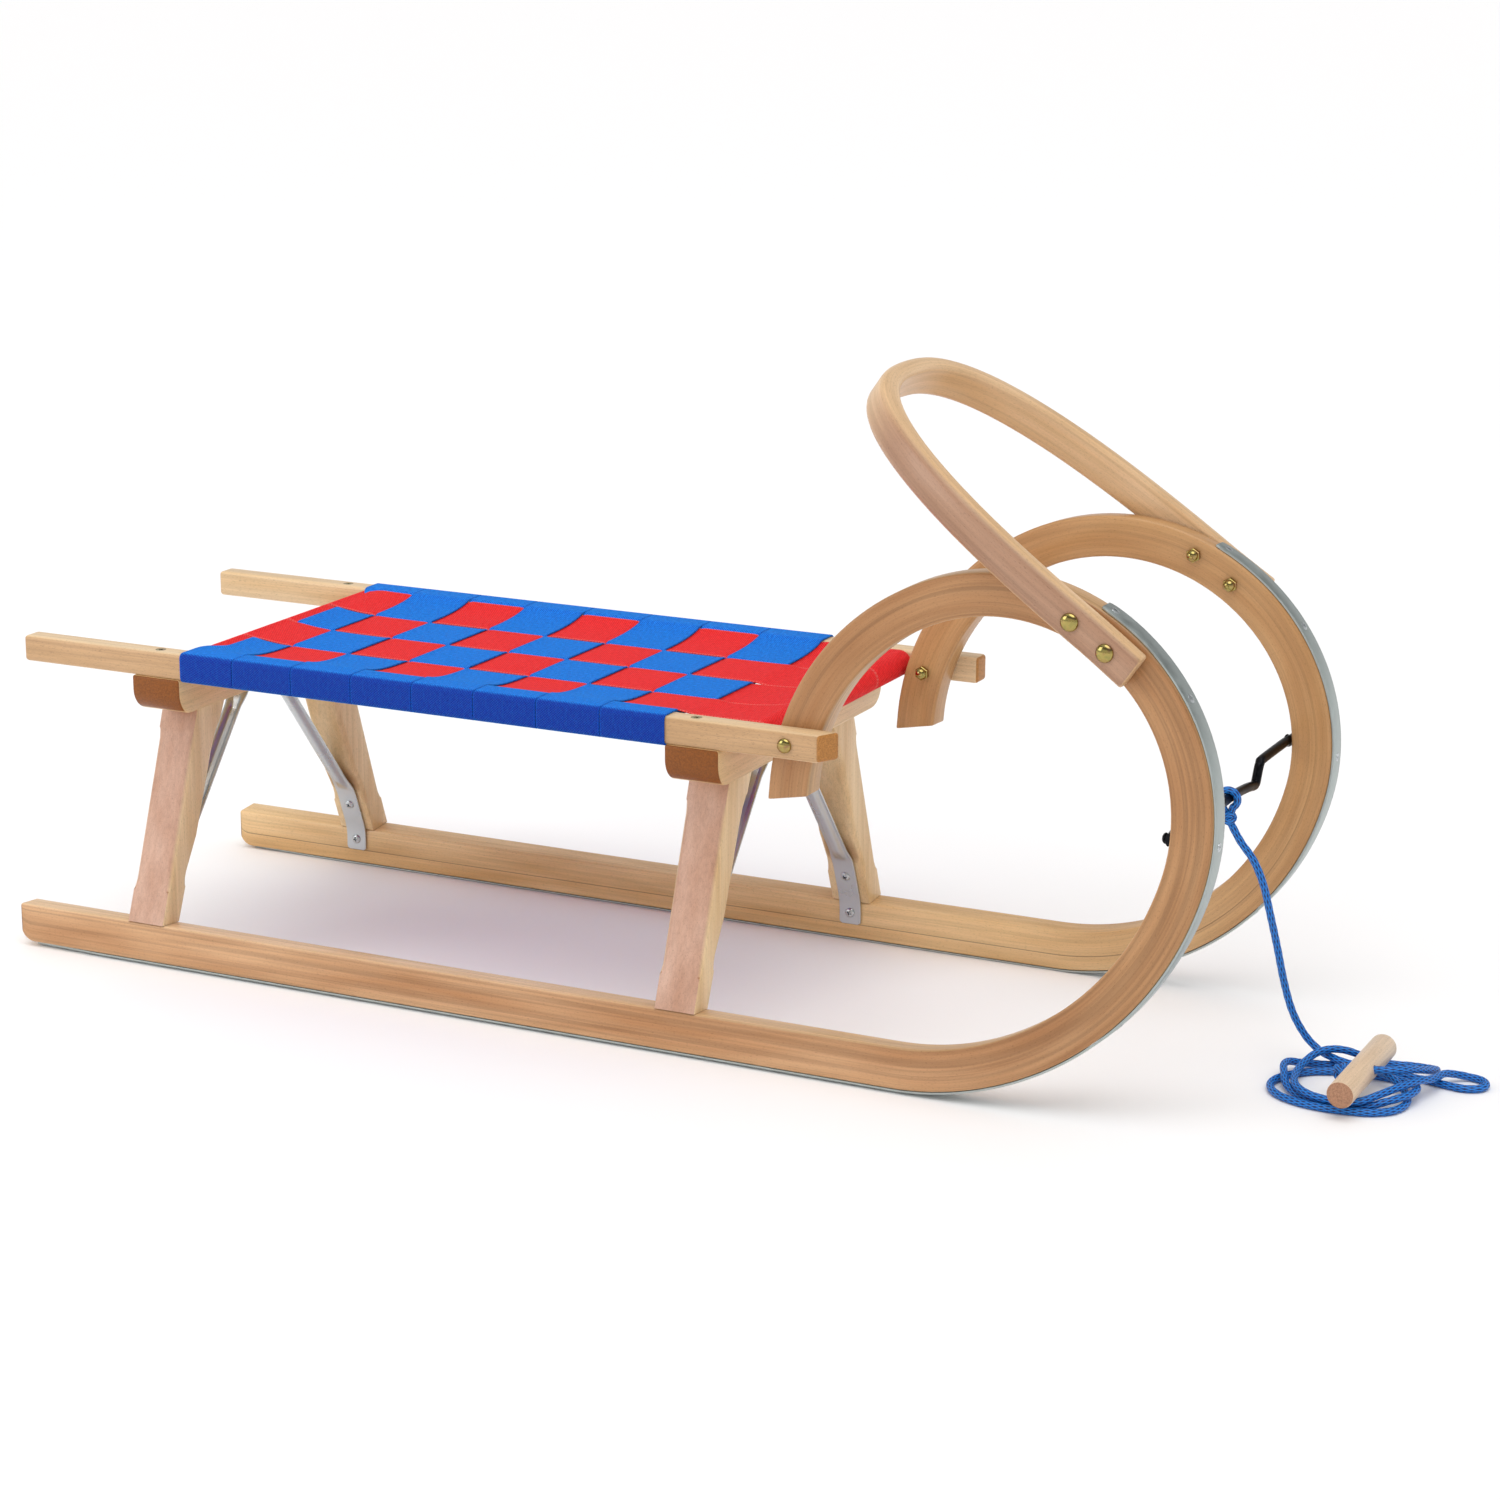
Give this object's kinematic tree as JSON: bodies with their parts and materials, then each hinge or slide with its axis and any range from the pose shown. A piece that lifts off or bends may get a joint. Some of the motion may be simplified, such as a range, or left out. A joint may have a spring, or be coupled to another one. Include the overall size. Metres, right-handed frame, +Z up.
{
  "type": "horn sled",
  "caption": "Wooden horn sled with curled runners on steel shoes, splayed legs, a woven strap seat, a bent hoop handle and a pull rope with a turned grip.",
  "frame": {"origin": "centre of the sled's footprint (without the rope) on the ground its steel shoes stand on", "axes": "+X towards the horns, the direction of travel; +Z up; +Y to the rider's left"},
  "size_m": [1.3267, 0.388, 0.5783],
  "materials": {
    "beech_runner": "satin clear lacquer on bent beech",
    "beech_leg": "satin clear lacquer, pinkish beech",
    "beech_pale": "satin clear lacquer, pale beech",
    "galvanised_steel": "galvanised",
    "yellow_zinc": "yellow passivated zinc",
    "black_steel": "black coated",
    "webbing_blue": "ribbed polypropylene webbing",
    "webbing_red": "ribbed polypropylene webbing",
    "blue_rope": "braided cord"
  },
  "bodies": {
    "root": {"runner_left": "beech_runner", "runner_shoe_left": "galvanised_steel", "seat_rail_left": "beech_pale", "bow_bolt_left_lower": "yellow_zinc", "bow_nut_left_lower": "yellow_zinc", "bow_bolt_left_upper": "yellow_zinc", "bow_nut_left_upper": "yellow_zinc", "tip_bolt_left": "yellow_zinc", "tip_nut_left": "yellow_zinc", "rope_bar_screw_left": "black_steel", "leg_rear_left": "beech_leg", "brace_rear_left": "galvanised_steel", "brace_screw_rear_left": "galvanised_steel", "rail_screw_rear_left": "galvanised_steel", "leg_front_left": "beech_leg", "brace_front_left": "galvanised_steel", "brace_screw_front_left": "galvanised_steel", "rail_screw_front_left": "galvanised_steel", "runner_right": "beech_runner", "runner_shoe_right": "galvanised_steel", "seat_rail_right": "beech_pale", "bow_bolt_right_lower": "yellow_zinc", "bow_nut_right_lower": "yellow_zinc", "bow_bolt_right_upper": "yellow_zinc", "bow_nut_right_upper": "yellow_zinc", "tip_bolt_right": "yellow_zinc", "tip_nut_right": "yellow_zinc", "rope_bar_screw_right": "black_steel", "leg_rear_right": "beech_leg", "brace_rear_right": "galvanised_steel", "brace_screw_rear_right": "galvanised_steel", "rail_screw_rear_right": "galvanised_steel", "leg_front_right": "beech_leg", "brace_front_right": "galvanised_steel", "brace_screw_front_right": "galvanised_steel", "rail_screw_front_right": "galvanised_steel", "rear_beam": "beech_runner", "front_beam": "beech_runner", "seat_bar_rear": "beech_pale", "seat_bar_front": "beech_pale", "cross_strap_1": "webbing_blue", "cross_strap_2": "webbing_blue", "cross_strap_3": "webbing_blue", "cross_strap_4": "webbing_blue", "cross_strap_5": "webbing_blue", "cross_strap_6": "webbing_blue", "cross_strap_7": "webbing_blue", "cross_strap_8": "webbing_blue", "long_strap_1": "webbing_red", "long_strap_2": "webbing_red", "long_strap_3": "webbing_red", "long_strap_4": "webbing_red", "handle_bow": "beech_runner", "rope_bar": "black_steel", "rope_knot": "blue_rope", "rope_free": "blue_rope", "rope_coil": "blue_rope", "rope_stopper_knot": "blue_rope", "pull_handle": "beech_pale"}
  },
  "joints": []
}
